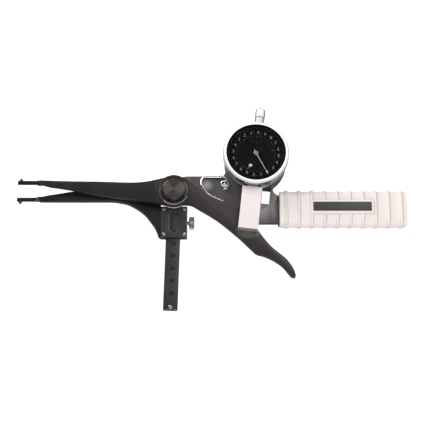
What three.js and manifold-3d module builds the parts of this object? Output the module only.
// Inside dial caliper: a hand-held gauge whose two arms spread inside a bore.
// The instrument lies on its back on the plane Z = 0, with the arm pivot on the Z axis.
// X runs from the pivot to the grip, Y from the finger lever to the dial, Z to the reader.
// All lengths are millimetres and all angles are degrees.

import * as THREE from 'three';
import { mergeVertices } from 'three/addons/utils/BufferGeometryUtils.js';
import Module from 'manifold-3d';

const wasm = await Module();
wasm.setup();

// Clearances
const fit = 0.3; // gap between neighbouring pieces
const running = 0.6; // gap beside a piece that slides or swings
const overrun = 2; // how far a cutter runs past the face that it opens

// Sides of round shapes
const fineSides = 36;
const roundSides = 16;
const smallSides = 10;
const tinySides = 6;

// Frame casting
const frameThick = 9;
const hubRadius = 10.3;
const frameTop = 14.4; // height of the upper edge above the pivot
const shankDepth = 25.1; // lower edge of the shank below the pivot
const shankTop = 2; // upper edge of the shank below the pivot, at the grip
const frameBack = 1.9; // wall behind the scale bar

// Dial gauge place: the middle of the dial, and how far its spindle leans from Y
const dialX = 64.6;
const dialY = 27;
const dialTilt = 6.3;
const dialPlateRadius = 24.6; // round pad of the frame behind the gauge
const spindleHeight = 18; // spindle axis above the rest plane

// Grip
const gripGap = 18.3; // dial middle to the end of the shank
const gripLength = 100.2;
const gripHalfHeight = 14.1;
const gripDrop = 14.2; // grip axis below the pivot
const gripThick = 16.6;
const gripCorner = 5.5;
const gripWall = 2.4;
const ribCount = 10;
const ribWidth = 2.4;
const ribRise = 1.2;
const ribInset = 4.1; // first rib from the front end
const panelLength = 49.4;
const panelHalfHeight = 5.4;
const panelInset = 24.2;
const labelLength = 45.2;
const labelHalfHeight = 3.5;
const labelThick = 0.9;
const labelSink = 0.9;
const tangGap = 4.8; // end of the tang to the end wall of the grip
const tangHalfHeight = 8;
const tangFloor = 4;
const gripScrewRadius = 1.2;
const gripScrewHeadRadius = 2.4;
const gripScrewHeadHeight = 1;
const gripScrewShares = [0.12, 0.5, 0.88];
const gripBossRadius = 3.4;

// Arm pivot
const shaftRadius = 3.6;
const shaftFloor = 2.6; // solid metal left behind the shaft
const shaftCrown = 1.6; // how far the shaft stands into its cap
const bushWall = 1.4;
const washerThick = 0.7;
const washerRadius = 8;
const capRadius = 8.5;
const capHeight = 4.2;
const capSink = 1;
const capEdge = 0.5;

// Finger lever with the upper arm
const leverThick = 6;
const bossRadius = 12.6;
const bossRise = 1.7;
const armReach = 106.4;
const armTaper = 3; // how much thinner the arms are at their ends
const triggerRun = 94.5;
const triggerDrop = 70;
const travelPinRadius = 1.5;
const travelPinDepth = 4.2;
const travelPinX = 44;
const travelPinY = -15.5;
const leverSwing = 4.7; // full squeeze

// Outlines of the lever: the arm in shares of armReach and bossRadius,
// the finger lever in shares of triggerRun and triggerDrop
const armTopShares = [
  [-1, 0.76], [-0.846, 0.69], [-0.669, 0.643], [-0.548, 0.619], [-0.384, 0.556],
  [-0.289, 0.548], [-0.195, 0.643], [-0.1, 0.817], [-0.035, 0.955],
];
const armLowShares = [
  [-0.047, -0.9], [-0.148, -0.706], [-0.325, -0.516], [-0.481, -0.325], [-0.614, -0.119],
  [-0.739, 0.135], [-0.849, 0.294], [-0.924, 0.381], [-1, 0.571],
];
const triggerTopShares = [
  [0.093, 0.163], [0.177, 0.08], [0.243, 0.007], [0.302, -0.064], [0.393, -0.123],
  [0.468, -0.159], [0.55, -0.194], [0.614, -0.257], [0.661, -0.357], [0.698, -0.471],
  [0.757, -0.584], [0.806, -0.661], [0.865, -0.729], [0.914, -0.786], [0.957, -0.857],
  [0.988, -0.929], [1, -0.979],
];
const triggerEndShares = [[1, -0.99], [0.994, -1], [0.98, -0.994]];
const triggerLowShares = [
  [0.966, -0.976], [0.916, -0.879], [0.873, -0.829], [0.822, -0.784], [0.764, -0.744],
  [0.698, -0.721],
];
const leverLowShares = [
  [0.698, -0.721], [0.655, -0.673], [0.582, -0.574], [0.531, -0.507], [0.384, -0.339],
  [0.218, -0.201], [0.142, -0.156], [0.06, -0.15],
];

// Anvil on the lever, which pushes the gauge spindle
const anvilHalfWidth = 3;
const anvilDepth = 4.2;
const anvilHeight = 4.8;
const anvilPadRadius = 5.2;
const anvilScrewRadius = 0.9;
const anvilScrewHeadRadius = 1.5;
const anvilScrewHeadHeight = 0.9;
const anvilScrewDepth = 4;

// Return spring, a bent wire, and its screw
const springWire = 1.4;
const springSides = 6;
const springSteps = 54;
const springScrewX = 39.9;
const springScrewY = 6.8;
const springScrewRadius = 1.5;
const springScrewHeadRadius = 3.1;
const springScrewHeadHeight = 1.8;
const springScrewDepth = 5;
const springEyeRadius = 3.3;
const springEyeAngles = [-100, -55, -10, 35];
const springRiseShare = [0.06, 0.8]; // of the span and of the rise to the frame's edge
const springBackShares = [0.92, 0.7, 0.4, 0.15];
const springBendShares = [[0.055, 0.9], [0, 0.68], [0.03, 0.42]];
const springRunShares = [0.22, 0.4, 0.6, 0.78, 0.95];
const springBackInset = 0.8; // wire line below the upper edge of the frame
const springBendX = 20.9; // left end of the bend
const gapReachShare = 4; // of the wire: nearer points along the wire are neighbours

// Slide bar of the lower arm
const barHalfWidth = 5.6;
const barThick = 4.5;
const barLength = 94;
const barHead = 6.6; // bar beyond the pivot
const barTilt = 1.5;
const barShift = 0.45;
const barScrewY = -7.4;
const barScrewRadius = 1.2;
const barScrewHeadRadius = 1.9;
const barScrewHeadHeight = 0.8;
const barScrewDepth = 3.4;
const stopScrewInset = 2.2;
const stopScrewRadius = 0.8;
const stopScrewHeadRadius = 1.3;
const stopScrewHeadHeight = 1.6;
const stopScrewDepth = 3;

// Lower arm with its bracket, outline in shares of armReach and bracketDepth
const bracketDepth = 35.8;
const bracketHalfWidth = 10.2;
const bracketShift = 0.3;
const bracketFoot = 0.3; // underside above the rest plane
const bracketTop = 7; // seat of the cover plate above the rest plane
const lowerTopShares = [
  [-1, -0.084], [-0.961, -0.045], [-0.85, 0.006], [-0.742, 0.059], [-0.564, 0.073],
  [-0.376, 0.067], [-0.207, 0.034], [-0.127, 0.011], [-0.11, -0.08],
];
const lowerLowShares = [
  [-0.114, -0.966], [-0.136, -0.788], [-0.171, -0.628], [-0.232, -0.416], [-0.33, -0.229],
  [-0.403, -0.165], [-0.473, -0.14], [-0.666, -0.148], [-0.852, -0.154], [-1, -0.159],
];
const coverThick = 1.7;
const coverLip = 0.4; // cover plate past the lower edge of the bracket
const coverScrewInset = 2.15;
const coverScrewRadius = 0.9;
const coverScrewHeadRadius = 1.5;
const coverScrewHeadHeight = 0.7;
const coverScrewDepth = 4.5;
const windowHalfWidth = 3.75;
const windowHalfHeight = 8.3;
const indexY = -23.8; // index line of the reading window

// Clamp of the lower arm
const clampHeight = 5.3;
const clampScrewRadius = 1.4;
const clampPadRadius = 1.2;
const clampPadLength = 1.5;
const clampHeadRadius = 5;
const clampHeadLength = 4;
const clampNeck = 1.6;
const knurlCount = 30;
const knurlShare = 0.95;

// Contact tips of both arms
const tongueLength = 10.6;
const tongueHalfWidth = 1.25;
const tipScrewInset = 6.5; // tip screw from the end of the arm
const tipScrewRadius = 0.6;
const tipScrewHeadRadius = 0.95;
const tipScrewHeadHeight = 0.6;
const collarLength = 2.4;
const collarHalfHeight = 1.75;
const rodRadius = 1.5;
const rodLength = 14.9;
const rodShift = 1.1; // rod axis outside the middle of its tongue
const contactInset = 2.6; // contact point from the end of the rod
const contactHeight = 2.3;
const contactBase = 1.5;
const contactNose = 0.45;
const upperTongueShare = 0.63; // of bossRadius
const lowerTongueShare = -0.11; // of bracketDepth

// Gauge housing
const caseRadius = 23.4;
const caseWall = 1.8;
const caseBackThick = 1.2;
const caseFront = 24.1;
const lugRadius = 2.3;
const lugInset = 4;
const lugHeight = 3.6;
const lugAngles = [30, 150, 325];
const backScrewRadius = 0.8;
const backScrewHeadRadius = 1.4;
const backScrewHeadHeight = 0.6;
const stemRadius = 4;
const spindleRadius = 2;
const stemEnd = 36.5; // lower end of the stem from the dial middle
const stemRoot = 20.6;
const neckRadius = 3.6;
const neckEnd = 33.5;
const capBarrelRadius = 3.95;
const capBarrelEnd = 41;
const capBarrelTop = 1.5;
const capBarrelChamfer = 0.5;

// Bezel, crystal and scale
const bezelRadius = 26;
const bezelFoot = 22.4;
const bezelTop = 30.3;
const bezelLip = 0.8;
const bezelOpening = 23;
const bezelSeat = 24.5;
const bezelShelf = 0.8;
const bezelShelfRadius = 22.6;
const bezelEdge = 0.7;
const bezelCrownRun = 1.4;
const bezelCrownDrop = 1.9;
const crystalThick = 0.8;
const scaleThick = 0.6;
const scaleSplit = 15.4; // where the turning scale meets the fixed dial
const snapRingWidth = 1.1;
const snapRingHeight = 0.6;
const snapGroove = 0.7;
const dialFootRadius = 0.9;
const dialFootPlace = 12.6;
const dialFootAngles = [60, 180, 300];

// Movement of the gauge
const plateThick = 1;
const plateRadius = 19.2;
const frontPlateBack = 23.5;
const pillarRadius = 1.3;
const pillarPlace = 15;
const pillarAngles = [8, 125, 195, 310];
const moduleSize = 0.199;
const gearTeeth = 100;
const pinionTeeth = 10;
const rackPinionTeeth = 16;
const rackTeeth = 14;
const toothDepthShare = 1.6; // of the module
const meshGap = 0.2;
const gearThick = 0.6;
const gearBack = 21.4;
const rackPinionThick = 2.4;
const arborRadius = 0.6;
const counterAngle = 252.3; // place of the counter arbor round the dial middle
const takeupAngle = 65;
const bridgeThick = 0.5;
const bridgeHalfWidth = 1.8;
const bridgePostPlace = 3.6;
const bridgePostRadius = 0.9;
const spiralTurns = 3;
const spiralInner = 1.6;
const spiralPitch = 1.2;
const spiralWire = 0.4;
const spiralHeight = 0.5;
const spiralSteps = 42;
const guidePinRadius = 0.6;
const guidePinPlace = 11;
const guidePinStart = -1.2;
const guidePinEnd = 4.7;
const guideStart = 3; // guide block beside the spindle
const guideWidth = 3;
const guideWall = 0.9;
const spindleTravel = 5;
const spindleTop = 33;
const spindleEnd = 51.4;
const waistStart = 23.5; // thin upper part of the spindle, inside its spring
const waistRadius = 0.9;
const contactTipLength = 2.6;
const contactTipRadius = 1.9;
const contactTipNose = 1;
const contactThread = 0.8;
const contactThreadLength = 3;
const coilRadius = 1.6;
const coilWire = 0.5;
const coilTurns = 8;
const coilSteps = 8;
const coilSides = 5;

// Hands
const handThick = 0.3;
const mainHandLength = 19.5;
const mainHandTail = 2.6;
const mainHandHalfWidth = 0.55;
const mainHubRadius = 2.1;
const mainHandAngle = -56;
const mainHandGap = 1.4; // hand above the dial
const counterHandLength = 4.2;
const counterHandHalfWidth = 0.35;
const counterHubRadius = 1.4;
const counterHandAngle = -119;
const counterHandGap = 0.6;

// Guard over the spindle end
const guardHalfWidth = 7.8;
const guardTop = 26.4; // upper end from the dial middle
const guardEnd = 61;
const guardFoot = 16; // underside above the rest plane
const guardHeight = 8;
const guardWall = 1.6;
const guardSolid = 7.6; // length of its clamping part
const guardScrewRadius = 1;
const guardScrewHeadRadius = 1.9;
const guardScrewHeadHeight = 1.2;
const guardScrewInset = 1.75;
const sightGap = 0.3; // sight window beside the guard
const sightWidth = 6.25;
const sightTop = 21.2;
const sightBottom = 34.8;

// Heights and places that follow from the sizes above
const leverBack = frameThick + fit;
const leverTop = leverBack + leverThick;
const bossTop = leverTop + bossRise;
const gripStart = dialX + gripGap;
const barBack = frameBack + fit;
const barTop = barBack + barThick;
const bracketStart = hubRadius + running;
const tongueBack = bracketTop + fit;
const tongueTop = leverBack - fit;
const rodHeight = (tongueBack + tongueTop) / 2;
const coverBack = bracketTop + fit / 2;
const coverTop = coverBack + coverThick;
const caseBack = frameThick + fit;
const caseFoot = caseBack + caseBackThick + fit;
const shelfTop = caseFront + fit + bezelShelf;
const scaleBack = shelfTop + fit;
const scaleTop = scaleBack + scaleThick;
const crystalTop = bezelTop - bezelLip - fit;
const clampTop = guardFoot - fit;
const pitchOf = (teeth) => (teeth * moduleSize) / 2;
const centreDistance = pitchOf(gearTeeth) + pitchOf(pinionTeeth);
const rackPitch = Math.PI * moduleSize;

// Finishes
const finishes = {
  blackened: [0x3a3838, 0.55, 0.6],
  lever: [0x3d3a39, 0.5, 0.6],
  cap: [0x2b2929, 0.35, 0.7],
  bright: [0xc9c9cb, 0.25, 1],
  satin: [0xbdbdbd, 0.4, 0.9],
  brass: [0xb8954f, 0.35, 1],
  cream: [0xe6dcda, 0.5, 0],
  grip: [0xdcd3d1, 0.55, 0],
  label: [0x2b2b2d, 0.5, 0],
  dial: [0x0b0c0d, 0.6, 0],
  hand: [0xe8e6e2, 0.5, 0],
  glass: [0xe9eef0, 0.05, 0],
  spring: [0x8f8f93, 0.3, 1],
};

function finish(name) {
  const [color, roughness, metalness] = finishes[name];
  return new THREE.MeshStandardMaterial({ color, roughness, metalness });
}

// Shape helpers

function closed(geometry) {
  const bare = geometry.clone();
  for (const name of Object.keys(bare.attributes)) {
    if (name !== 'position') bare.deleteAttribute(name);
  }
  const merged = mergeVertices(bare);
  const place = merged.attributes.position;
  const corners = [];
  let volume = 0;
  const [a, b, c] = [new THREE.Vector3(), new THREE.Vector3(), new THREE.Vector3()];
  for (let i = 0; i < merged.index.count; i += 3) {
    const [p, q, r] = [0, 1, 2].map((step) => merged.index.getX(i + step));
    if (p === q || q === r || r === p) continue;
    corners.push(p, q, r);
    a.fromBufferAttribute(place, p);
    b.fromBufferAttribute(place, q);
    c.fromBufferAttribute(place, r);
    volume += a.dot(b.cross(c));
  }
  if (volume < 0) corners.reverse();
  return new wasm.Manifold(new wasm.Mesh({
    numProp: 3,
    vertProperties: new Float32Array(place.array),
    triVerts: new Uint32Array(corners),
  }));
}

const join = (...pieces) => pieces.flat().reduce((whole, piece) => whole.add(piece));
const cut = (body, ...tools) => tools.flat().reduce((rest, tool) => rest.subtract(tool), body);

function block(x0, x1, y0, y1, z0, z1) {
  const geometry = new THREE.BoxGeometry(x1 - x0, y1 - y0, z1 - z0);
  geometry.translate((x0 + x1) / 2, (y0 + y1) / 2, (z0 + z1) / 2);
  return geometry;
}

function disc(radius, z0, z1, x = 0, y = 0, sides = roundSides) {
  const geometry = new THREE.CylinderGeometry(radius, radius, z1 - z0, sides);
  geometry.rotateX(Math.PI / 2);
  geometry.translate(x, y, (z0 + z1) / 2);
  return geometry;
}

// A round bar along Y, or along X
function barAlongY(radius, y0, y1, x = 0, z = 0, sides = roundSides) {
  const geometry = new THREE.CylinderGeometry(radius, radius, y1 - y0, sides);
  geometry.translate(x, (y0 + y1) / 2, z);
  return geometry;
}

function barAlongX(radius, x0, x1, y = 0, z = 0, sides = roundSides) {
  const geometry = new THREE.CylinderGeometry(radius, radius, x1 - x0, sides);
  geometry.rotateZ(-Math.PI / 2);
  geometry.translate((x0 + x1) / 2, y, z);
  return geometry;
}

// A turned piece about Z from a profile of [radius, height] pairs
function turned(profile, sides = roundSides) {
  const points = profile.map(([radius, height]) => new THREE.Vector2(radius, height));
  const geometry = new THREE.LatheGeometry(points, sides);
  geometry.rotateX(Math.PI / 2);
  return geometry;
}

function ring(outer, inner, z0, z1, x = 0, y = 0, sides = roundSides) {
  const cutter = disc(inner, z0 - overrun, z1 + overrun, x, y, sides);
  return cut(closed(disc(outer, z0, z1, x, y, sides)), closed(cutter));
}

function plate(points, z0, z1) {
  const shape = new THREE.Shape(points.map(([x, y]) => new THREE.Vector2(x, y)));
  const geometry = new THREE.ExtrudeGeometry(shape, { depth: z1 - z0, bevelEnabled: false });
  geometry.translate(0, 0, z0);
  return geometry;
}

// A prism along Y whose section is drawn in X and Z
function prismAlongY(points, y0, y1) {
  const geometry = plate(points, 0, y1 - y0);
  geometry.rotateX(Math.PI / 2);
  geometry.translate(0, y1, 0);
  return geometry;
}

const polar = (radius, degrees) => {
  const angle = THREE.MathUtils.degToRad(degrees);
  return [radius * Math.cos(angle), radius * Math.sin(angle)];
};

const scaled = (shares, width, height) => shares.map(([x, y]) => [x * width, y * height]);

function smooth(points, stepsPerSpan = 2) {
  const curve = new THREE.SplineCurve(points.map(([x, y]) => new THREE.Vector2(x, y)));
  return curve.getPoints((points.length - 1) * stepsPerSpan).map((p) => [p.x, p.y]);
}

// A slot with round ends along Y
function slotPlate(halfWidth, halfHeight, x, y, z0, z1) {
  const straight = halfHeight - halfWidth;
  const ends = [-straight, straight].map((shift) =>
    closed(disc(halfWidth, z0, z1, x, y + shift, smallSides)));
  const middle = block(x - halfWidth, x + halfWidth, y - straight, y + straight, z0, z1);
  return join(closed(middle), ends);
}

// A rounded bar section in Y and Z, run along X
function roundedBar(x0, x1, halfHeight, z0, z1, corner) {
  const shape = new THREE.Shape();
  const arcs = [
    [halfHeight - corner, z1 - corner, 0],
    [-halfHeight + corner, z1 - corner, Math.PI / 2],
    [-halfHeight + corner, z0 + corner, Math.PI],
    [halfHeight - corner, z0 + corner, 1.5 * Math.PI],
  ];
  for (const [y, z, start] of arcs) {
    shape.absarc(y, z, corner, start, start + Math.PI / 2, false);
  }
  const geometry = new THREE.ExtrudeGeometry(shape, {
    depth: x1 - x0, bevelEnabled: false, curveSegments: 2,
  });
  geometry.rotateX(Math.PI / 2);
  geometry.rotateZ(Math.PI / 2);
  geometry.translate(x0, 0, 0);
  return geometry;
}

// A screw along Z, or a hole for one: a shank, and a head at one of its ends
function screw(x, y, shank, from, to, head, headFrom, headTo, sides = smallSides) {
  return join(
    closed(disc(shank, Math.min(from, headFrom), Math.max(to, headTo), x, y, sides)),
    closed(disc(head, headFrom, headTo, x, y, sides)),
  );
}

// A wheel with pointed teeth
function toothed(radius, teeth, depth, z0, z1) {
  const points = [];
  for (let i = 0; i < teeth; i += 1) {
    points.push(polar(radius, (360 * i) / teeth));
    points.push(polar(radius - depth, (360 * (i + 0.5)) / teeth));
  }
  return plate(points, z0, z1);
}

// Groups: the whole part, the gauge in its leaning frame, the slide bar in its own
const model = new THREE.Group();
const gauge = new THREE.Group();
gauge.position.set(dialX, dialY, 0);
gauge.rotation.z = THREE.MathUtils.degToRad(-dialTilt);
model.add(gauge);
const slide = new THREE.Group();
slide.rotation.z = THREE.MathUtils.degToRad(-barTilt);
model.add(slide);
for (const group of [gauge, slide]) group.updateMatrix();

// Moves a shape drawn in a group's frame into the model's frame
const inGroup = (group, geometry) => geometry.clone().applyMatrix4(group.matrix);

function node(name, body, look, parent = model) {
  const drawn = body.getMesh();
  const geometry = new THREE.BufferGeometry();
  geometry.setAttribute('position', new THREE.BufferAttribute(drawn.vertProperties, 3));
  geometry.setIndex(new THREE.BufferAttribute(drawn.triVerts, 1));
  geometry.computeVertexNormals();
  const mesh = new THREE.Mesh(geometry, finish(look));
  mesh.name = name;
  parent.add(mesh);
}

// Frame casting

function frameOutline() {
  const dial = (shares) => shares.map(([x, y]) => [
    dialX + x * dialPlateRadius, dialY + y * dialPlateRadius,
  ]);
  const topShares = [[0.02, 0.68], [0.06, 0.9], [0.11, 0.99], [0.2, 1]];
  const flareShares = [[-1.07, -0.51], [-1.03, -0.48], [-0.97, -0.37], [-0.92, -0.2]];
  const neckShares = [[0.62, -0.78], [0.57, -0.87], [0.549, -0.955], [0.57, -1.03], [0.63, -1.11]];
  const lowShares = [
    [0.7, -1], [0.62, -0.985], [0.507, -0.82], [0.41, -0.62], [0.29, -0.43], [0.17, -0.25],
    [0.06, -0.28],
  ];
  return [
    ...smooth(scaled(topShares, gripStart, frameTop)),
    ...smooth(dial(flareShares)),
    [dialX, dialY],
    ...smooth([...dial(neckShares), [gripStart - fit, -shankTop]]),
    [gripStart - fit, -shankDepth],
    ...smooth(scaled(lowShares, gripStart, shankDepth)),
    [0, 0],
  ];
}

function travelSlot() {
  const reach = Math.hypot(travelPinX, travelPinY);
  const start = THREE.MathUtils.radToDeg(Math.atan2(travelPinY, travelPinX));
  const half = travelPinRadius + fit;
  const points = [];
  const steps = [0, 0.5, 1];
  for (const step of steps) points.push(polar(reach - half, start + step * leverSwing));
  for (const step of [...steps].reverse()) {
    points.push(polar(reach + half, start + step * leverSwing));
  }
  const floor = leverBack - travelPinDepth - fit;
  const ends = [0, leverSwing].map((turn) => {
    const [x, y] = polar(reach, start + turn);
    return closed(disc(half, floor, frameThick + overrun, x, y, smallSides));
  });
  return join(closed(plate(points, floor, frameThick + overrun)), ends);
}

const gripScrewPlaces = gripScrewShares.map((share) => gripStart + share * gripLength);
const guardScrewX = guardHalfWidth - guardScrewInset;
const guardScrewY = -(guardTop + guardSolid / 2);

function frame() {
  const body = join(
    closed(plate(frameOutline(), 0, frameThick)),
    closed(disc(hubRadius, 0, frameThick)),
    closed(disc(dialPlateRadius, 0, frameThick, dialX, dialY, fineSides)),
    closed(inGroup(gauge, block(
      -guardHalfWidth, guardHalfWidth, -(guardTop + guardSolid), -guardTop, 0, clampTop,
    ))),
    closed(block(
      gripStart - fit - overrun, gripStart + gripLength - gripWall - tangGap,
      -gripDrop - tangHalfHeight, -gripDrop + tangHalfHeight, tangFloor, frameThick,
    )),
  );
  const sight = block(
    guardHalfWidth + sightGap, guardHalfWidth + sightGap + sightWidth,
    -sightBottom, -sightTop, -overrun, clampTop + overrun,
  );
  const pocket = block(
    barShift - barHalfWidth - fit, barShift + barHalfWidth + fit,
    -hubRadius - overrun, barHead + fit, frameBack, barTop + fit,
  );
  const stemSeat = barAlongY(
    stemRadius + fit, -guardTop - guardSolid - overrun, -caseRadius, 0, spindleHeight,
  );
  const guardHoles = [-guardScrewX, guardScrewX].flatMap((x) => [
    disc(guardScrewRadius + fit, -overrun, clampTop + overrun, x, guardScrewY, smallSides),
    disc(guardScrewHeadRadius + fit, -overrun, guardScrewHeadHeight + fit * 2, x, guardScrewY),
  ]);
  const barHole = screw(
    barShift, barScrewY, barScrewRadius + fit, -overrun, frameBack + overrun,
    barScrewHeadRadius + fit, -overrun, barScrewHeadHeight + fit * 1.5,
  );
  return cut(
    body,
    closed(disc(shaftRadius + fit, shaftFloor, frameThick + overrun)),
    closed(disc(washerRadius + fit, frameThick - washerThick - fit, frameThick + overrun)),
    closed(inGroup(slide, pocket)),
    closed(inGroup(gauge, sight)),
    closed(inGroup(gauge, stemSeat)),
    guardHoles.map((hole) => closed(inGroup(gauge, hole))),
    barHole,
    travelSlot(),
    closed(disc(
      springScrewRadius + fit, frameThick - springScrewDepth - fit, frameThick + overrun,
      springScrewX, springScrewY, smallSides,
    )),
    gripScrewPlaces.map((x) => closed(disc(
      gripScrewRadius + running, tangFloor - overrun, frameThick + overrun,
      x, -gripDrop, smallSides,
    ))),
  );
}
node('body_frame', frame(), 'blackened');

// Pivot of the upper arm

const shaftTop = bossTop - capSink + fit + shaftCrown;
const capBack = bossTop - capSink + fit;
node('pivot_shaft', join(
  closed(disc(shaftRadius, shaftFloor + fit, bossTop - capSink)),
  closed(disc(shaftRadius - fit * 2, bossTop - capSink, shaftTop)),
), 'satin');
node('pivot_bush', ring(
  shaftRadius + fit + bushWall, shaftRadius + fit, leverBack, bossTop - capSink,
), 'brass');
node('pivot_washer', ring(
  washerRadius, shaftRadius + fit, frameThick - washerThick, frameThick,
), 'brass');
node('pivot_cap', cut(
  closed(turned([
    [0, capBack], [capRadius - capEdge, capBack], [capRadius, capBack + capEdge],
    [capRadius, capBack + capHeight - capEdge], [capRadius - capEdge, capBack + capHeight],
    [0, capBack + capHeight],
  ], fineSides)),
  closed(disc(shaftRadius - fit, capBack - overrun, shaftTop + fit)),
), 'cap');

// Finger lever and upper arm, one casting

const armTop = smooth(scaled(armTopShares, armReach, bossRadius));
const armLow = smooth(scaled(armLowShares, armReach, bossRadius));
const triggerTop = smooth(scaled(triggerTopShares, triggerRun, triggerDrop));
const anvilFace = -(spindleEnd + contactTipLength + fit);
const anvilScrewY = anvilFace - anvilDepth / 2;
const upperTongueY = upperTongueShare * bossRadius;
const lowerTongueY = lowerTongueShare * bracketDepth;
const tipScrewX = -(armReach - tipScrewInset);
const upperTipTop = leverTop - armTaper;

// Cutter that thins an arm towards its end, from full thickness beside the pivot
function armWedge(height, taper, side) {
  const start = -bossRadius;
  return prismAlongY([
    [start, height], [-armReach - overrun, height - side * taper],
    [-armReach - overrun, height + side * overrun], [start, height + side * overrun],
  ], -bossRadius * 2, bossRadius * 2);
}

function lever() {
  const outline = [
    ...armTop,
    ...triggerTop,
    ...scaled(triggerEndShares, triggerRun, triggerDrop),
    ...smooth(scaled(triggerLowShares, triggerRun, triggerDrop)),
    ...smooth(scaled(leverLowShares, triggerRun, triggerDrop)).slice(1),
    ...armLow,
  ];
  const body = join(
    cut(closed(plate(outline, leverBack, leverTop)), closed(armWedge(leverTop, armTaper, 1))),
    closed(disc(bossRadius, leverBack, bossTop, 0, 0, fineSides)),
    closed(inGroup(gauge, disc(anvilPadRadius, leverBack, leverTop, 0, anvilScrewY))),
  );
  return cut(
    body,
    closed(disc(shaftRadius + bushWall + fit * 2, leverBack - overrun, bossTop + overrun)),
    closed(disc(capRadius + running, bossTop - capSink, bossTop + overrun, 0, 0, fineSides)),
    closed(disc(
      travelPinRadius + fit, leverBack - overrun, leverTop - fit * 2,
      travelPinX, travelPinY, smallSides,
    )),
    closed(inGroup(gauge, disc(
      anvilScrewRadius + fit, leverTop - anvilScrewDepth - fit, leverTop + overrun,
      0, anvilScrewY, smallSides,
    ))),
    screw(
      tipScrewX, upperTongueY, tipScrewRadius + fit, leverBack - overrun, leverTop,
      tipScrewHeadRadius + fit, upperTipTop - tipScrewHeadHeight, leverTop + overrun,
    ),
  );
}
node('lever_arm', lever(), 'lever');
node('travel_pin', closed(disc(
  travelPinRadius, leverBack - travelPinDepth, leverTop - fit * 3,
  travelPinX, travelPinY, smallSides,
)), 'satin');

function anvil() {
  const back = leverTop + fit;
  return cut(
    closed(block(-anvilHalfWidth, anvilHalfWidth, anvilFace - anvilDepth, anvilFace,
      back, back + anvilHeight)),
    closed(disc(anvilScrewRadius + fit, back - overrun, back + anvilHeight + overrun,
      0, anvilScrewY, smallSides)),
  );
}
node('contact_anvil', anvil(), 'bright', gauge);
const anvilTop = leverTop + fit + anvilHeight;
node('anvil_screw', screw(
  0, anvilScrewY, anvilScrewRadius, leverTop - anvilScrewDepth, anvilTop + fit,
  anvilScrewHeadRadius, anvilTop + fit, anvilTop + fit + anvilScrewHeadHeight,
), 'satin', gauge);

// Contact tips: a tongue under the screw, a collar, a rod and a pointed contact

function contactTip(tongueY, side) {
  const rodY = tongueY + side * rodShift;
  const collarEnd = -(armReach + fit);
  const rodStart = collarEnd - collarLength;
  const rodEnd = rodStart - rodLength;
  const contact = new THREE.CylinderGeometry(
    contactNose, contactBase, contactHeight + rodRadius, smallSides,
  );
  if (side < 0) contact.rotateX(Math.PI);
  contact.translate(
    rodEnd + contactInset, rodY + (side * (contactHeight + rodRadius)) / 2, rodHeight,
  );
  const body = join(
    closed(block(collarEnd - collarLength / 2, -armReach + tongueLength,
      tongueY - tongueHalfWidth, tongueY + tongueHalfWidth, tongueBack, tongueTop)),
    closed(block(rodStart, collarEnd, rodY - collarHalfHeight, rodY + collarHalfHeight,
      rodHeight - collarHalfHeight, rodHeight + collarHalfHeight)),
    closed(barAlongX(rodRadius, rodEnd, rodStart + collarLength / 2, rodY, rodHeight, smallSides)),
    closed(contact),
  );
  return cut(body, closed(disc(
    tipScrewRadius + fit, tongueBack - overrun, tongueTop + overrun,
    tipScrewX, tongueY, tinySides,
  )));
}
node('upper_contact_tip', contactTip(upperTongueY, 1), 'cap');
node('lower_contact_tip', contactTip(lowerTongueY, -1), 'cap');
const upperHeadBack = upperTipTop - tipScrewHeadHeight + fit;
node('upper_tip_screw', screw(
  tipScrewX, upperTongueY, tipScrewRadius, tongueBack + fit, upperHeadBack,
  tipScrewHeadRadius, upperHeadBack, upperHeadBack + tipScrewHeadHeight, tinySides,
), 'satin');

// Slide bar of the lower arm, pinned through by the pivot shaft

function slideBar() {
  const eye = disc(shaftRadius + fit, barBack - overrun, barTop + overrun);
  return cut(
    closed(inGroup(slide, block(barShift - barHalfWidth, barShift + barHalfWidth,
      -barLength, barHead, barBack, barTop))),
    closed(eye),
    closed(disc(barScrewRadius + fit, barBack - overrun, barBack + barScrewDepth + fit,
      barShift, barScrewY, smallSides)),
    closed(inGroup(slide, disc(stopScrewRadius + fit, barTop - stopScrewDepth - fit,
      barTop + overrun, barShift, -barLength + stopScrewInset, smallSides))),
  );
}
node('slide_bar', slideBar(), 'blackened');
const barHeadBack = fit;
node('slide_bar_screw', screw(
  barShift, barScrewY, barScrewRadius, barHeadBack, barBack + barScrewDepth,
  barScrewHeadRadius, barHeadBack, barHeadBack + barScrewHeadHeight,
), 'satin');
node('slide_stop_screw', screw(
  barShift, -barLength + stopScrewInset, stopScrewRadius, barTop - stopScrewDepth, barTop + fit,
  stopScrewHeadRadius, barTop + fit, barTop + fit + stopScrewHeadHeight,
), 'bright', slide);

// Lower arm with its sliding bracket

const bracketLeft = bracketShift - bracketHalfWidth;
const bracketRight = bracketShift + bracketHalfWidth;
const bracketMiddle = -(bracketStart + bracketDepth) / 2;
const coverScrewPlaces = [-1, 1].flatMap((x) => [-1, 1].map((y) => [
  bracketShift + x * (bracketHalfWidth - coverScrewInset),
  bracketMiddle + y * ((bracketDepth - bracketStart) / 2 - coverScrewInset),
]));

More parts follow.
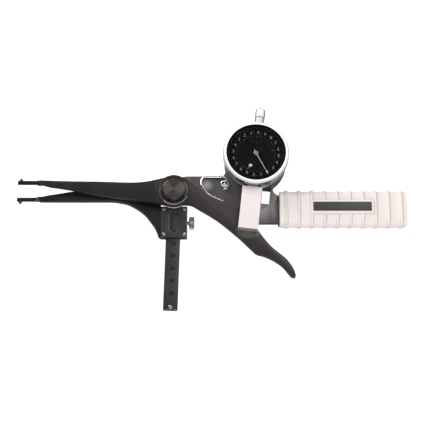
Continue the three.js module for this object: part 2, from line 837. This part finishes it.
function lowerArm() {
  const outline = [
    ...smooth(scaled(lowerTopShares, armReach, bracketDepth)),
    [bracketLeft, -bracketStart],
    [bracketRight, -bracketStart],
    [bracketRight, -bracketDepth],
    [bracketLeft, -bracketDepth],
    ...smooth(scaled(lowerLowShares, armReach, bracketDepth)),
  ];
  const channel = block(
    barShift - barHalfWidth - fit, barShift + barHalfWidth + fit,
    -bracketDepth - overrun, 0, barBack - fit, bracketTop + overrun,
  );
  const lowerTipBack = bracketFoot + armTaper;
  return cut(
    closed(plate(outline, bracketFoot, bracketTop)),
    closed(armWedge(bracketFoot, armTaper, -1)),
    closed(disc(bracketStart, -overrun, frameThick + overrun, 0, 0, fineSides)),
    closed(inGroup(slide, channel)),
    closed(barAlongX(clampScrewRadius + fit, 0, bracketRight + overrun, indexY, clampHeight,
      smallSides)),
    coverScrewPlaces.map(([x, y]) => closed(disc(
      coverScrewRadius + fit, coverTop - coverScrewDepth - fit, bracketTop + overrun,
      x, y, smallSides,
    ))),
    screw(
      tipScrewX, lowerTongueY, tipScrewRadius + fit, bracketFoot, bracketTop + overrun,
      tipScrewHeadRadius + fit, -overrun, lowerTipBack + tipScrewHeadHeight,
    ),
  );
}
node('lower_arm', lowerArm(), 'blackened');
const lowerHeadTop = bracketFoot + armTaper + tipScrewHeadHeight - fit;
node('lower_tip_screw', screw(
  tipScrewX, lowerTongueY, tipScrewRadius, lowerHeadTop, tongueTop - fit,
  tipScrewHeadRadius, lowerHeadTop - tipScrewHeadHeight, lowerHeadTop, tinySides,
), 'satin');

function coverPlate() {
  return cut(
    closed(block(bracketLeft, bracketRight, -bracketDepth - coverLip, -bracketStart,
      coverBack, coverTop)),
    slotPlate(windowHalfWidth, windowHalfHeight, bracketShift, indexY,
      coverBack - overrun, coverTop + overrun),
    coverScrewPlaces.map(([x, y]) => screw(
      x, y, coverScrewRadius + fit, coverBack - overrun, coverTop + overrun,
      coverScrewHeadRadius + fit, coverTop - coverScrewHeadHeight - fit, coverTop + overrun,
    )),
  );
}
node('bracket_cover', coverPlate(), 'blackened');
coverScrewPlaces.forEach(([x, y], i) => node(`cover_screw_${i + 1}`, screw(
  x, y, coverScrewRadius, coverTop - coverScrewDepth, coverTop - coverScrewHeadHeight,
  coverScrewHeadRadius, coverTop - coverScrewHeadHeight, coverTop,
), 'bright'));

// Clamp screw of the lower arm, with the pad that it presses on the slide bar

const barEdge = (() => {
  const edge = new THREE.Vector3(barShift + barHalfWidth, indexY, 0).applyMatrix4(slide.matrix);
  return edge.x + fit;
})();
const padEnd = barEdge + fit + clampPadLength;
node('clamp_pad', closed(barAlongX(
  clampPadRadius, barEdge + fit, padEnd, indexY, clampHeight, smallSides,
)), 'brass');

function thumbScrew() {
  const headStart = bracketRight + clampNeck;
  const section = [];
  for (let i = 0; i < knurlCount; i += 1) {
    section.push(polar(clampHeadRadius, (360 * i) / knurlCount));
    section.push(polar(clampHeadRadius * knurlShare, (360 * (i + 0.5)) / knurlCount));
  }
  const head = plate(section, headStart, headStart + clampHeadLength);
  head.rotateY(Math.PI / 2);
  head.translate(0, indexY, clampHeight);
  return join(
    closed(barAlongX(clampScrewRadius, padEnd + fit, headStart + clampHeadLength / 2,
      indexY, clampHeight, smallSides)),
    closed(head),
  );
}
node('thumb_screw', thumbScrew(), 'bright');

// Least gap of a wire to itself, measured on points along its middle line
function printLeastGap(name, points, wire) {
  const apart = wire * gapReachShare;
  const along = [0];
  points.slice(1).forEach((point, i) => along.push(along[i] + point.distanceTo(points[i])));
  let least = Infinity;
  points.forEach((point, i) => points.forEach((other, j) => {
    if (along[j] - along[i] > apart) least = Math.min(least, point.distanceTo(other) - wire);
  }));
  console.log(`${name}: least gap to itself ${least.toFixed(2)} mm`);
}

// Return spring: an eye round its screw, a run along the frame's edge, a tight bend
// and a run down the upper edge of the lever

const springHeight = frameThick + fit + springWire / 2;

function leverEdge(x, gap) {
  const next = triggerTop.findIndex(([edgeX]) => edgeX > x);
  const [[x0, y0], [x1, y1]] = [triggerTop[next - 1], triggerTop[next]];
  const slope = (y1 - y0) / (x1 - x0);
  return y0 + slope * (x - x0) + gap * Math.hypot(1, slope);
}

function springPath() {
  const eye = springEyeAngles.map((angle) => {
    const [x, y] = polar(springEyeRadius, angle);
    return [springScrewX + x, springScrewY + y];
  });
  const backY = frameTop - springBackInset;
  const span = springScrewX - springBendX;
  const [riseX, riseY] = springRiseShare;
  const gap = springWire / 2 + fit;
  return [
    ...eye,
    [springScrewX + span * riseX, springScrewY + (backY - springScrewY) * riseY],
    ...springBackShares.map((share) => [springBendX + share * span, backY]),
    ...springBendShares.map(([x, y]) => [springBendX + x * span, y * backY]),
    ...springRunShares.map((share) => {
      const x = springBendX + share * span;
      return [x, leverEdge(x, gap)];
    }),
  ].map(([x, y]) => new THREE.Vector3(x, y, springHeight));
}

function springSolid() {
  const section = new THREE.Shape(
    Array.from({ length: springSides }, (_, i) =>
      new THREE.Vector2(...polar(springWire / 2, (360 * (i + 0.5)) / springSides))),
  );
  const path = new THREE.CatmullRomCurve3(springPath(), false, 'centripetal');
  printLeastGap('return_spring', path.getSpacedPoints(springSteps * 4), springWire);
  return closed(new THREE.ExtrudeGeometry(section, {
    steps: springSteps, bevelEnabled: false, extrudePath: path,
  }));
}
node('return_spring', springSolid(), 'spring');
const springHeadBack = springHeight + springWire / 2 + fit;
node('spring_screw', screw(
  springScrewX, springScrewY, springScrewRadius, frameThick - springScrewDepth, springHeadBack,
  springScrewHeadRadius, springHeadBack, springHeadBack + springScrewHeadHeight, roundSides,
), 'bright');

// Grip: two shells round the tang, joined by screws from behind

const gripEnd = gripStart + gripLength;
const gripBack = ribRise;
const gripFront = gripBack + gripThick;
const gripMiddle = (gripBack + gripFront) / 2;
const panelFront = gripFront + ribRise;
const ribPitch = (gripLength - 2 * ribInset - ribWidth) / (ribCount - 1);

function gripSolid() {
  const ribs = Array.from({ length: ribCount }, (_, i) => {
    const start = gripStart + ribInset + i * ribPitch;
    return closed(roundedBar(start, start + ribWidth, gripHalfHeight + ribRise,
      gripBack - ribRise, gripFront + ribRise, gripCorner + ribRise));
  });
  const panelStart = gripStart + panelInset;
  return join(
    closed(roundedBar(gripStart, gripEnd, gripHalfHeight, gripBack, gripFront, gripCorner)),
    ribs,
    closed(block(panelStart, panelStart + panelLength, -panelHalfHeight, panelHalfHeight,
      gripFront - gripWall, panelFront)),
  );
}

const labelStart = gripStart + panelInset + (panelLength - labelLength) / 2;

function gripShells() {
  const cavity = closed(roundedBar(gripStart + gripWall, gripEnd - gripWall,
    gripHalfHeight - gripWall, gripBack + gripWall, gripFront - gripWall, gripCorner - gripWall));
  const tangDoor = closed(block(
    gripStart - overrun, gripStart + gripWall + overrun, -tangHalfHeight - fit,
    tangHalfHeight + fit, tangFloor - fit, gripMiddle,
  ));
  const bosses = gripScrewPlaces.map((x) => closed(disc(
    gripBossRadius, gripMiddle + fit / 2, gripFront - gripWall + overrun / 2, x, 0,
  )));
  const bores = gripScrewPlaces.map((x) => closed(disc(
    gripScrewRadius + fit, -overrun, gripFront - gripWall, x, 0, smallSides,
  )));
  const headSeats = gripScrewPlaces.map((x) => closed(disc(
    gripScrewHeadRadius + fit, -overrun, gripBack + gripScrewHeadHeight + fit * 2, x, 0,
  )));
  const labelSeat = closed(block(
    labelStart - fit, labelStart + labelLength + fit, -labelHalfHeight - fit,
    labelHalfHeight + fit, panelFront - labelSink, panelFront + overrun,
  ));
  const hollow = cut(gripSolid(), cavity);
  const reach = gripHalfHeight + ribRise + overrun;
  const half = (z0, z1) => closed(block(
    gripStart - overrun, gripEnd + overrun, -reach, reach, z0, z1,
  ));
  const front = join(hollow.intersect(half(gripMiddle + fit / 2, gripFront + reach)), bosses);
  const rear = hollow.intersect(half(-reach, gripMiddle - fit / 2));
  return [cut(front, bores, labelSeat), cut(rear, bores, headSeats, tangDoor)];
}

const grip = new THREE.Group();
grip.position.y = -gripDrop;
model.add(grip);
const [gripFrontShell, gripRearShell] = gripShells();
node('grip_front_shell', gripFrontShell, 'grip', grip);
node('grip_rear_shell', gripRearShell, 'grip', grip);
gripScrewPlaces.forEach((x, i) => node(`grip_screw_${i + 1}`, screw(
  x, 0, gripScrewRadius, gripBack + fit, gripFront - gripWall - fit,
  gripScrewHeadRadius, gripBack + fit, gripBack + fit + gripScrewHeadHeight,
), 'satin', grip));
node('label_plate', closed(block(
  labelStart, labelStart + labelLength, -labelHalfHeight, labelHalfHeight,
  panelFront - labelSink + fit, panelFront - labelSink + fit + labelThick,
)), 'label', grip);

// Guard over the spindle end, which also clamps the stem

function guard() {
  const top = guardFoot + guardHeight;
  return cut(
    closed(block(-guardHalfWidth, guardHalfWidth, -guardEnd, -guardTop, guardFoot, top)),
    closed(block(
      -guardHalfWidth + guardWall, guardHalfWidth - guardWall, -guardEnd + guardWall,
      -guardTop - guardSolid, guardFoot - overrun, top - guardWall,
    )),
    closed(barAlongY(stemRadius + fit, -guardTop - guardSolid - overrun, -guardTop + overrun,
      0, spindleHeight)),
    [-guardScrewX, guardScrewX].map((x) => closed(disc(
      guardScrewRadius + fit, guardFoot - overrun, top - guardWall, x, guardScrewY, smallSides,
    ))),
  );
}
node('spindle_guard', guard(), 'cream', gauge);
[-guardScrewX, guardScrewX].forEach((x, i) => node(`guard_screw_${i + 1}`, screw(
  x, guardScrewY, guardScrewRadius, fit, guardFoot + guardHeight - guardWall - fit,
  guardScrewHeadRadius, fit, fit + guardScrewHeadHeight,
), 'satin', gauge));

// Gauge housing

const lugPlaces = lugAngles.map((angle) => polar(caseRadius - lugInset, angle));

function housing() {
  const wall = ring(caseRadius, caseRadius - caseWall, caseFoot, caseFront, 0, 0, fineSides);
  const lugs = lugPlaces.map(([x, y]) => closed(disc(
    lugRadius, caseFoot, caseFoot + lugHeight, x, y, smallSides,
  )));
  const groove = ring(caseRadius + overrun, caseRadius - snapGroove,
    bezelFoot + fit, bezelFoot + snapRingHeight + fit * 3, 0, 0, fineSides);
  return cut(
    join(wall, lugs),
    groove,
    closed(barAlongY(stemRadius + fit, -caseRadius - overrun, 0, 0, spindleHeight)),
    closed(barAlongY(neckRadius + fit, 0, caseRadius + overrun, 0, spindleHeight)),
    lugPlaces.map(([x, y]) => closed(disc(
      backScrewRadius + fit, caseFoot - overrun, caseFoot + lugHeight - fit, x, y, tinySides,
    ))),
  );
}
node('gauge_case', housing(), 'satin', gauge);
node('case_back', cut(
  closed(disc(caseRadius, caseBack, caseBack + caseBackThick, 0, 0, fineSides)),
  lugPlaces.map(([x, y]) => screw(
    x, y, backScrewRadius + fit, caseBack - overrun, caseBack + caseBackThick + overrun,
    backScrewHeadRadius + fit, caseBack - overrun, caseBack + backScrewHeadHeight,
    tinySides,
  )),
), 'satin', gauge);
lugPlaces.forEach(([x, y], i) => node(`case_screw_${i + 1}`, screw(
  x, y, backScrewRadius, caseBack, caseFoot + lugHeight - fit * 2,
  backScrewHeadRadius, caseBack, caseBack + backScrewHeadHeight / 2, tinySides,
), 'satin', gauge));
node('stem', cut(
  closed(barAlongY(stemRadius, -stemEnd, -stemRoot, 0, spindleHeight)),
  closed(barAlongY(spindleRadius + fit, -stemEnd - overrun, -stemRoot + overrun,
    0, spindleHeight, smallSides)),
), 'satin', gauge);
node('upper_stem', cut(
  closed(barAlongY(neckRadius, stemRoot, neckEnd, 0, spindleHeight)),
  closed(barAlongY(spindleRadius + fit, stemRoot - overrun, neckEnd + overrun,
    0, spindleHeight, smallSides)),
), 'satin', gauge);

function dustCap() {
  const start = neckEnd + fit;
  const shell = turned([
    [0, start], [capBarrelRadius, start],
    [capBarrelRadius, capBarrelEnd - capBarrelChamfer],
    [capBarrelRadius - capBarrelChamfer, capBarrelEnd], [0, capBarrelEnd],
  ]);
  shell.rotateX(-Math.PI / 2);
  shell.translate(0, 0, spindleHeight);
  return cut(closed(shell), closed(barAlongY(spindleRadius + running, start - overrun,
    capBarrelEnd - capBarrelTop, 0, spindleHeight, smallSides)));
}
node('dust_cap', dustCap(), 'bright', gauge);

// Bezel with its snap ring, crystal, turning scale and fixed dial

const bezelBore = caseRadius + fit;
function bezel() {
  const profile = [
    [bezelBore, bezelFoot],
    [bezelRadius - bezelEdge, bezelFoot],
    [bezelRadius, bezelFoot + bezelEdge],
    [bezelRadius, bezelTop - bezelCrownDrop],
    [bezelRadius - bezelCrownRun / 2, bezelTop - bezelCrownDrop / 4],
    [bezelRadius - bezelCrownRun, bezelTop],
    [bezelOpening + bezelEdge / 2, bezelTop],
    [bezelOpening, bezelTop - bezelEdge / 2],
    [bezelOpening, bezelTop - bezelLip],
    [bezelSeat, bezelTop - bezelLip],
    [bezelSeat, shelfTop],
    [bezelShelfRadius, shelfTop],
    [bezelShelfRadius, caseFront + fit],
    [bezelBore, caseFront + fit],
    [bezelBore, bezelFoot],
  ];
  const groove = disc(bezelBore + snapGroove, bezelFoot + fit,
    bezelFoot + snapRingHeight + fit * 3, 0, 0, fineSides);
  return cut(closed(turned(profile, fineSides)), closed(groove));
}
node('bezel', bezel(), 'bright', gauge);
const snapBack = bezelFoot + fit * 2;
const snapInner = caseRadius - snapGroove + fit;
node('bezel_snap_ring', ring(
  snapInner + snapRingWidth, snapInner, snapBack, snapBack + snapRingHeight, 0, 0, fineSides,
), 'spring', gauge);
node('crystal', closed(disc(
  bezelSeat - fit, crystalTop - crystalThick, crystalTop, 0, 0, fineSides,
)), 'glass', gauge);
node('scale_ring', ring(
  bezelSeat - fit, scaleSplit + fit, scaleBack, scaleTop, 0, 0, fineSides,
), 'dial', gauge);

const counterPlace = polar(centreDistance, counterAngle);
const takeupPlace = polar(centreDistance, takeupAngle);
const frontPlateTop = frontPlateBack + plateThick;
const arborHole = arborRadius + fit;

function dialPlate() {
  const feet = dialFootAngles.map((angle) => {
    const [x, y] = polar(dialFootPlace, angle);
    return closed(disc(dialFootRadius, frontPlateTop + fit, scaleTop, x, y, tinySides));
  });
  return cut(
    join(closed(disc(scaleSplit, scaleBack, scaleTop, 0, 0, fineSides)), feet),
    [[0, 0], counterPlace].map(([x, y]) => closed(disc(
      arborHole, scaleBack - overrun, scaleTop + overrun, x, y, tinySides,
    ))),
  );
}
node('dial_plate', dialPlate(), 'dial', gauge);

// Movement: back plate with its pillars, bridge and spindle guide, then the front plate

const backPlateTop = caseFoot + plateThick;
const bridgeBack = spindleHeight + spindleRadius + fit;
const bridgeTop = bridgeBack + bridgeThick;

function backPlate() {
  const lugGap = caseRadius - lugInset - lugRadius - running;
  const bridgeEnd = bridgePostPlace + bridgePostRadius;
  const slotHalf = guidePinRadius + fit;
  const guideFront = guidePinPlace + spindleTravel + slotHalf;
  const guide = cut(
    closed(block(
      guideStart, guideStart + guideWidth, guidePinPlace - slotHalf - guideWall,
      guideFront + guideWall, caseFoot, bridgeTop,
    )),
    closed(block(
      guideStart - overrun, guideStart + guideWidth - guideWall, guidePinPlace - slotHalf,
      guideFront, spindleHeight - slotHalf, spindleHeight + slotHalf,
    )),
  );
  return join(
    closed(disc(Math.min(plateRadius, lugGap), caseFoot, backPlateTop)),
    pillarAngles.map((angle) => {
      const [x, y] = polar(pillarPlace, angle);
      return closed(disc(pillarRadius, caseFoot, frontPlateBack - fit, x, y, smallSides));
    }),
    [-bridgePostPlace, bridgePostPlace].map((x) => closed(disc(
      bridgePostRadius, caseFoot, bridgeTop, x, 0, smallSides,
    ))),
    closed(block(-bridgeEnd, bridgeEnd, -bridgeHalfWidth, bridgeHalfWidth,
      bridgeBack, bridgeTop)),
    guide,
  );
}
node('movement_back_plate', backPlate(), 'brass', gauge);

function frontPlate() {
  return cut(
    closed(disc(plateRadius, frontPlateBack, frontPlateTop)),
    [[0, 0], counterPlace, takeupPlace].map(([x, y]) => closed(disc(
      arborHole, frontPlateBack - overrun, frontPlateTop + overrun, x, y, tinySides,
    ))),
  );
}
node('movement_front_plate', frontPlate(), 'brass', gauge);

// Spindle with its rack, contact point, guide pin and spring

const toothDepth = toothDepthShare * moduleSize;
const rackFace = counterPlace[0] + pitchOf(rackPinionTeeth);

function rackCutter() {
  const top = counterPlace[1] + 3 * rackPitch;
  const points = [[rackFace - spindleRadius, top]];
  for (let i = 0; i < rackTeeth; i += 1) {
    points.push([rackFace, top - i * rackPitch]);
    points.push([rackFace + toothDepth, top - (i + 0.5) * rackPitch]);
  }
  const bottom = top - rackTeeth * rackPitch;
  points.push([rackFace, bottom], [rackFace - spindleRadius, bottom]);
  return plate(points, spindleHeight - spindleRadius, spindleHeight + spindleRadius);
}

function spindle() {
  const thread = barAlongY(contactThread + fit, -spindleEnd - overrun,
    -spindleEnd + contactThreadLength + fit, 0, spindleHeight, tinySides);
  return cut(
    join(
      closed(barAlongY(spindleRadius, -spindleEnd, waistStart, 0, spindleHeight, smallSides)),
      closed(barAlongY(waistRadius, waistStart - overrun, spindleTop, 0, spindleHeight,
        tinySides)),
    ),
    closed(rackCutter()),
    closed(thread),
    closed(barAlongX(guidePinRadius + fit, -spindleRadius - overrun, spindleRadius + overrun,
      guidePinPlace, spindleHeight, tinySides)),
  );
}
node('rack_spindle', spindle(), 'bright', gauge);

function contactPoint() {
  const middle = -spindleEnd - fit - contactTipLength / 2;
  const cone = new THREE.CylinderGeometry(
    contactTipRadius, contactTipNose, contactTipLength - fit, smallSides,
  );
  cone.translate(0, middle, spindleHeight);
  return join(
    closed(cone),
    closed(barAlongY(contactThread, middle, -spindleEnd + contactThreadLength,
      0, spindleHeight, tinySides)),
  );
}
node('contact_point', contactPoint(), 'bright', gauge);
node('guide_pin', closed(barAlongX(
  guidePinRadius, guidePinStart, guidePinEnd, guidePinPlace, spindleHeight, tinySides,
)), 'satin', gauge);

// A helix along the spindle axis, from the shoulder of the spindle to the dust cap
class Coil extends THREE.Curve {
  constructor(start, end) {
    super();
    this.start = start;
    this.end = end;
  }

  getPoint(t, target = new THREE.Vector3()) {
    const angle = t * coilTurns * 2 * Math.PI;
    return target.set(
      coilRadius * Math.cos(angle),
      THREE.MathUtils.lerp(this.start, this.end, t),
      spindleHeight + coilRadius * Math.sin(angle),
    );
  }
}

function plungerSpring() {
  const section = new THREE.Shape(Array.from({ length: coilSides }, (_, i) =>
    new THREE.Vector2(...polar(coilWire / 2, (360 * i) / coilSides))));
  const inset = coilWire / 2 + fit;
  const path = new Coil(waistStart + inset, capBarrelEnd - capBarrelTop - inset);
  printLeastGap('plunger_spring', path.getSpacedPoints(coilTurns * coilSteps * 4), coilWire);
  return closed(new THREE.ExtrudeGeometry(section, {
    steps: coilTurns * coilSteps, bevelEnabled: false, extrudePath: path,
  }));
}
node('plunger_spring', plungerSpring(), 'spring', gauge);

// Gear train and hands

const mainHandBack = scaleTop + mainHandGap;
const counterHandBack = scaleTop + counterHandGap;

// Wheels on one arbor, each given as [radius, teeth, back, top], at a place in the gauge
function arbor(place, back, top, wheels) {
  const [x, y] = place;
  const shapes = wheels.map(([radius, teeth, from, to]) => {
    const geometry = toothed(radius, teeth, toothDepth, from, to);
    geometry.translate(x, y, 0);
    return closed(geometry);
  });
  return join(closed(disc(arborRadius, back, top, x, y, tinySides)), shapes);
}

const tipOf = (teeth) => pitchOf(teeth) - meshGap / 2;
const gearTop = gearBack + gearThick;
const arborFoot = bridgeTop + fit;
node('centre_arbor', arbor([0, 0], arborFoot, mainHandBack, [
  [tipOf(pinionTeeth), pinionTeeth, arborFoot, gearTop + fit],
]), 'bright', gauge);
node('counter_arbor', arbor(counterPlace, backPlateTop + fit, counterHandBack, [
  [pitchOf(rackPinionTeeth) - meshGap, rackPinionTeeth,
    spindleHeight - rackPinionThick / 2, spindleHeight + rackPinionThick / 2],
  [tipOf(gearTeeth), gearTeeth, gearBack, gearTop],
]), 'brass', gauge);
node('takeup_arbor', arbor(takeupPlace, arborFoot, frontPlateTop, [
  [tipOf(gearTeeth), gearTeeth, gearBack, gearTop],
]), 'brass', gauge);

// Flat spiral spring over the take-up wheel
function hairspring() {
  const line = (side) => Array.from({ length: spiralSteps + 1 }, (_, i) => {
    const turn = (i / spiralSteps) * spiralTurns;
    const [x, y] = polar(spiralInner + turn * spiralPitch + (side * spiralWire) / 2, turn * 360);
    return [takeupPlace[0] + x, takeupPlace[1] + y];
  });
  const back = gearTop + fit;
  return closed(plate([...line(1), ...line(-1).reverse()], back, back + spiralHeight));
}
node('hairspring', hairspring(), 'spring', gauge);

// A hand: a pointer with a tail, and a hub closed in front of its arbor
function hand(place, angle, length, tail, halfWidth, hub, back) {
  const [x, y] = place;
  const pointer = plate([
    [-tail, -halfWidth], [0, -halfWidth], [length, 0], [0, halfWidth], [-tail, halfWidth],
  ], back, back + handThick);
  pointer.rotateZ(THREE.MathUtils.degToRad(angle));
  pointer.translate(x, y, 0);
  const hubTop = back + handThick * 2;
  return cut(
    join(closed(pointer), closed(disc(hub, back - handThick, hubTop, x, y, smallSides))),
    closed(disc(arborHole, back - overrun, back + handThick, x, y, tinySides)),
  );
}
node('main_hand', hand(
  [0, 0], mainHandAngle, mainHandLength, mainHandTail, mainHandHalfWidth, mainHubRadius,
  mainHandBack,
), 'hand', gauge);
node('counter_hand', hand(
  counterPlace, counterHandAngle, counterHandLength, counterHubRadius, counterHandHalfWidth,
  counterHubRadius, counterHandBack - handThick / 2,
), 'hand', gauge);

export default model;
